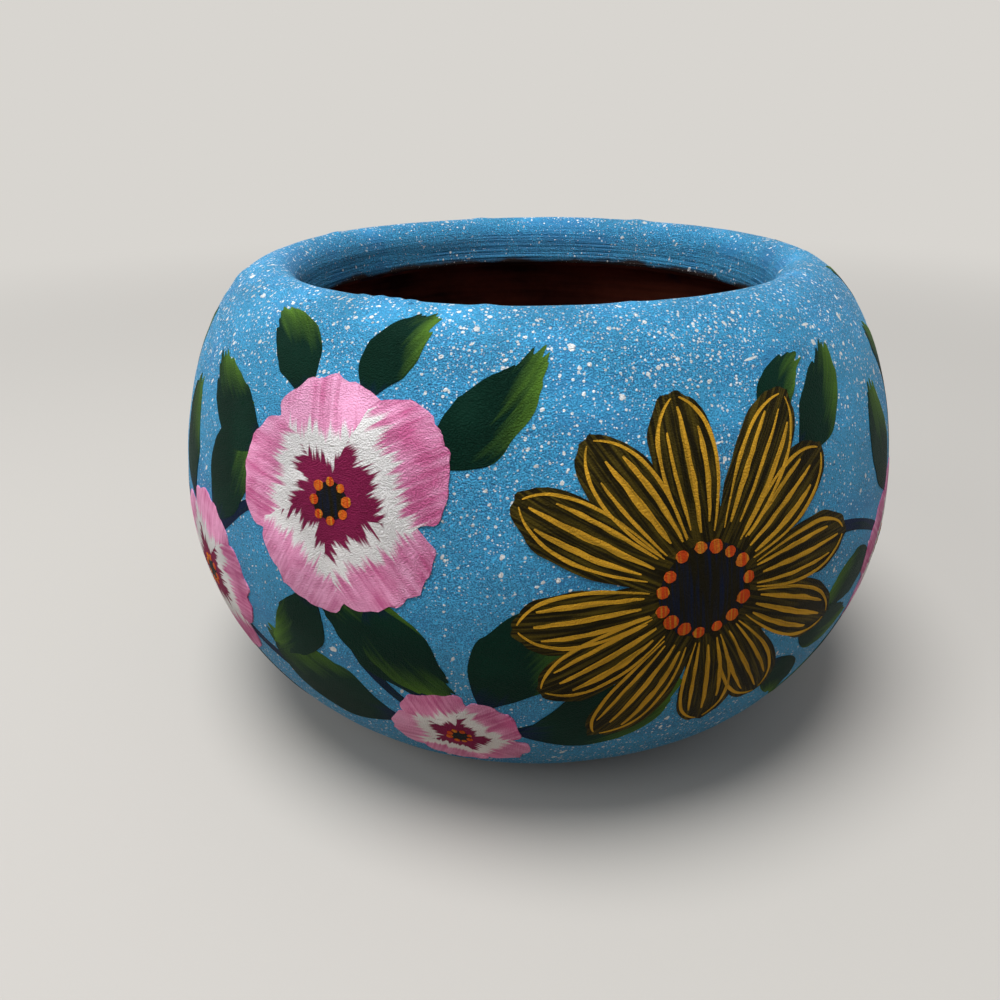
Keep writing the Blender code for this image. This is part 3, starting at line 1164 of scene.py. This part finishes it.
def leaf_acrylic():
    """Dark green acrylic from a brush loaded with yellow-green on one side, which shows towards the tip."""
    shades = colours()
    material, add, place = new_material("green_leaf_acrylic")
    share = stroke_share(add)
    fine = bristles(add, *LEAF_FINE)
    broad = bristles(add, *LEAF_BROAD)
    loaded = add("Math", {0: share["X"], 1: 0.32, 2: share["Y"]}, "MULTIPLY_ADD")
    flick = add("Math", {0: fine, 1: 0.55, 2: loaded}, "MULTIPLY_ADD")
    reach = add("Math", {0: broad, 1: 0.5, 2: flick}, "MULTIPLY_ADD")
    tip = add("MapRange", {"Value": reach, "From Min": 1.15, "From Max": 1.75})
    green = add("Mix", {0: tip, 1: shades.leaf, 2: shades.leaf_light}, data_type="RGBA")
    start = add("Math", {0: fine, 1: 0.3, 2: share["Y"]}, "MULTIPLY_ADD")
    foot = add("MapRange", {"Value": start, "From Min": 0.36, "From Max": 0.16})
    colour = add("Mix", {0: foot, 1: green, 2: shades.stem}, data_type="RGBA")
    finish_stroke(add, place, colour, fine, roughness=0.55)
    return material


def streaked_acrylic(name, base, other, low=0.45, high=0.75):
    """Acrylic of one colour, with streaks of another along the stroke."""
    material, add, place = new_material(name)
    fine = bristles(add, *PLAIN_FINE)
    share = add("MapRange", {"Value": fine, "From Min": low, "From Max": high})
    colour = add("Mix", {0: share, 1: base, 2: other}, data_type="RGBA")
    finish_stroke(add, place, colour, fine, roughness=0.55)
    return material


# Operators


class PLANTER_OT_clay(bpy.types.Operator):
    """Model the four clay pieces that are luted into the pot"""

    bl_idname = "planter.clay"
    bl_label = "Clay Pieces"

    def execute(self, context):
        clay = fired_terracotta()
        pieces = (
            ("clay_base", base_section(), "terracotta_base", "base_slab"),
            ("clay_lower_wall", lower_section(), "terracotta_lower", "lower_bowl"),
            ("clay_upper_wall", upper_section(), "terracotta_upper", "upper_bowl"),
            ("clay_rim", rim_section(), "terracotta_rim", "rolled_rim"),
        )
        for name, section, slot, node in pieces:
            piece = turn_section(name, section, CLAY_STEPS)
            if node != "base_slab":
                turning_marks(piece)
            finish_piece(piece, clay, slot, node)
        return {"FINISHED"}


class PLANTER_OT_paint_coat(bpy.types.Operator):
    """Model the brushed blue paint over the outside, the rim and the throat"""

    bl_idname = "planter.paint_coat"
    bl_label = "Paint Coat"

    def execute(self, context):
        finish_piece(model_paint_coat(), brushed_blue_acrylic(), PAINT_SLOT, "paint_coat")
        return {"FINISHED"}


class PLANTER_OT_foliage(bpy.types.Operator):
    """Paint the stems and leaves of the garland around the belly"""

    bl_idname = "planter.foliage"
    bl_label = "Stems and Leaves"

    def execute(self, context):
        shades = colours()
        dark_blue = streaked_acrylic("dark_blue_acrylic", shades.stem, shades.leaf)
        finish_piece(paint_stems(), dark_blue, PAINT_SLOT)
        finish_piece(paint_leaves(), leaf_acrylic(), PAINT_SLOT)
        return {"FINISHED"}


class PLANTER_OT_flowers(bpy.types.Operator):
    """Paint the pink rosettes and the dark daisies of the garland"""

    bl_idname = "planter.flowers"
    bl_label = "Flowers"

    def execute(self, context):
        shades = colours()
        olive_black = streaked_acrylic(
            "olive_black_acrylic", shades.dark, shades.olive, low=0.44, high=0.78)
        gold = streaked_acrylic("gold_acrylic", shades.gold, shades.olive, low=0.5, high=0.9)
        black = streaked_acrylic("black_acrylic", shades.dark, shades.stem)
        orange = streaked_acrylic("orange_acrylic", shades.orange, shades.gold)
        finish_piece(paint_rosettes(), petal_acrylic(), PAINT_SLOT)
        finish_piece(paint_daisies(), olive_black, PAINT_SLOT)
        finish_piece(paint_gold_lines(), gold, PAINT_SLOT)
        finish_piece(paint_hearts(), black, PAINT_SLOT)
        finish_piece(paint_dabs(), orange, PAINT_SLOT)
        return {"FINISHED"}


# The photograph's view: distance from the pot's axis, height, and angles.
CAMERA_DISTANCE = 253 * MM
CAMERA_HEIGHT = 169.1 * MM
CAMERA_PITCH = math.radians(25.6)
CAMERA_YAW = math.radians(2.46)
CAMERA_ROLL = math.radians(0.62)
LENS_MM = 29.97
SENSOR_MM = 36.0
CLIP_START = 10 * MM


class PLANTER_OT_stage(bpy.types.Operator):
    """Set the pale floor, the soft light and the photograph's camera"""

    bl_idname = "planter.stage"
    bl_label = "Stage"

    def execute(self, context):
        scene = context.scene
        scene.view_settings.view_transform = "Standard"
        add_camera(scene)
        add_floor()
        add_light()
        return {"FINISHED"}


def add_camera(scene):
    """The photograph's camera."""
    deselect()
    bpy.ops.object.camera_add(location=(0, -CAMERA_DISTANCE, CAMERA_HEIGHT))
    camera = bpy.context.object
    aim = (Matrix.Rotation(CAMERA_YAW, 3, "Z") @ Matrix.Rotation(math.pi / 2 - CAMERA_PITCH, 3, "X")
           @ Matrix.Rotation(-CAMERA_ROLL, 3, "Z"))
    camera.rotation_euler = aim.to_euler()
    camera.data.sensor_width = SENSOR_MM
    camera.data.lens = LENS_MM
    camera.data.clip_start = CLIP_START
    scene.camera = camera


# The floor is pale to the eye and fades into an even backdrop, but bounces light as a wooden floor does.
FLOOR_PALE = "#B5B2AD"
BACKDROP_PALE = "#D8D5D0"
FLOOR_BOUNCE = "#877A6C"
FLOOR_RADIUS = 3.0
FLOOR_SIDES = 64
FADE_START = 0.2
FADE_END = 1.0


def eye_share(add):
    """One for the rays that the eye sees, straight or mirrored, and zero for those that carry light."""
    path = add("LightPath").outputs
    mirrored = add("Math", {0: path["Is Glossy Ray"], 1: path["Is Transmission Ray"]}, "MAXIMUM")
    return add("Math", {0: path["Is Camera Ray"], 1: mirrored}, "MAXIMUM")


def pale_floor():
    """Matt pale paint that turns into an even glow far from the pot, for the eye alone."""
    material, add, place = new_material("pale_floor")
    seen = eye_share(add)
    colour = add("Mix", {0: seen, 1: linear(FLOOR_BOUNCE), 2: linear(FLOOR_PALE)}, data_type="RGBA")
    matt = add("BsdfDiffuse", {"Color": colour})
    glow = add("Emission", {"Color": linear(BACKDROP_PALE)})
    distance = add("VectorMath", {0: place}, "LENGTH")
    far = add("MapRange", {
        "Value": distance, "From Min": FADE_START, "From Max": FADE_END}, interpolation_type="SMOOTHSTEP")
    share = add("Math", {0: far, 1: seen}, "MULTIPLY")
    both = add("MixShader", {0: share, 1: matt, 2: glow})
    add("OutputMaterial", {"Surface": both})
    return material


def add_floor():
    """A wide pale floor under the pot."""
    deselect()
    bpy.ops.mesh.primitive_circle_add(vertices=FLOOR_SIDES, radius=FLOOR_RADIUS, fill_type="NGON")
    floor = bpy.context.object
    floor.name = "stage_floor"
    floor.data.materials.append(pale_floor())


# Light as in a bright room: an even pale sky, a soft lamp overhead and a window in front on the left.
SKY_COLOUR = "#F4F6FA"
SKY_STRENGTH = 0.42
LAMP_AIM = (0, 0, 0.08)
# Lamps: name, place, width and watts.
LAMPS = (
    ("ceiling_light", (-0.2, -0.18, 1.4), 0.8, 22.0),
    ("window_light", (-1.1, -0.6, 0.9), 0.8, 5.0),
)


def add_light():
    """An even sky, with the backdrop's colour for the eye, and the lamps."""
    world = bpy.data.worlds.new("soft_room")
    bpy.context.scene.world = world
    world.use_nodes = True
    world.node_tree.nodes.clear()
    add = partial(add_node, world.node_tree)
    sky = add("Background", {"Color": linear(SKY_COLOUR), "Strength": SKY_STRENGTH})
    backdrop = add("Background", {"Color": linear(BACKDROP_PALE)})
    both = add("MixShader", {0: eye_share(add), 1: sky, 2: backdrop})
    add("OutputWorld", {"Surface": both})
    for name, place, width, watts in LAMPS:
        deselect()
        bpy.ops.object.light_add(type="AREA", location=place)
        lamp = bpy.context.object
        lamp.name = name
        lamp.data.shape = "DISK"
        lamp.data.size = width
        lamp.data.energy = watts
        lamp.rotation_euler = (Vector(LAMP_AIM) - lamp.location).to_track_quat("-Z", "Y").to_euler()


class PLANTER_PT_panel(bpy.types.Panel):
    """Lists the steps and the sizes"""

    bl_idname = "PLANTER_PT_panel"
    bl_label = "Painted Planter"
    bl_space_type = "VIEW_3D"
    bl_region_type = "UI"
    bl_category = "Planter"

    def draw(self, context):
        for operator in OPERATORS:
            self.layout.operator(operator.bl_idname)
        for group in (context.scene.planter_sizes, context.scene.planter_colours):
            for name in group.__annotations__:
                self.layout.prop(group, name)


OPERATORS = (
    PLANTER_OT_clay, PLANTER_OT_paint_coat, PLANTER_OT_foliage, PLANTER_OT_flowers, PLANTER_OT_stage,
)
CLASSES = (PlanterSizes, PlanterColours, *OPERATORS, PLANTER_PT_panel)


def register():
    """Make the settings, the operators and the panel available."""
    for kind in CLASSES:
        bpy.utils.register_class(kind)
    bpy.types.Scene.planter_sizes = PointerProperty(type=PlanterSizes)
    bpy.types.Scene.planter_colours = PointerProperty(type=PlanterColours)


def unregister():
    """Take the settings, the operators and the panel away."""
    del bpy.types.Scene.planter_colours
    del bpy.types.Scene.planter_sizes
    for kind in reversed(CLASSES):
        bpy.utils.unregister_class(kind)


def main():
    """Build the planter and its stage."""
    register()
    bpy.ops.planter.clay()
    bpy.ops.planter.paint_coat()
    bpy.ops.planter.foliage()
    bpy.ops.planter.flowers()
    bpy.ops.planter.stage()


if __name__ == "__main__":
    main()
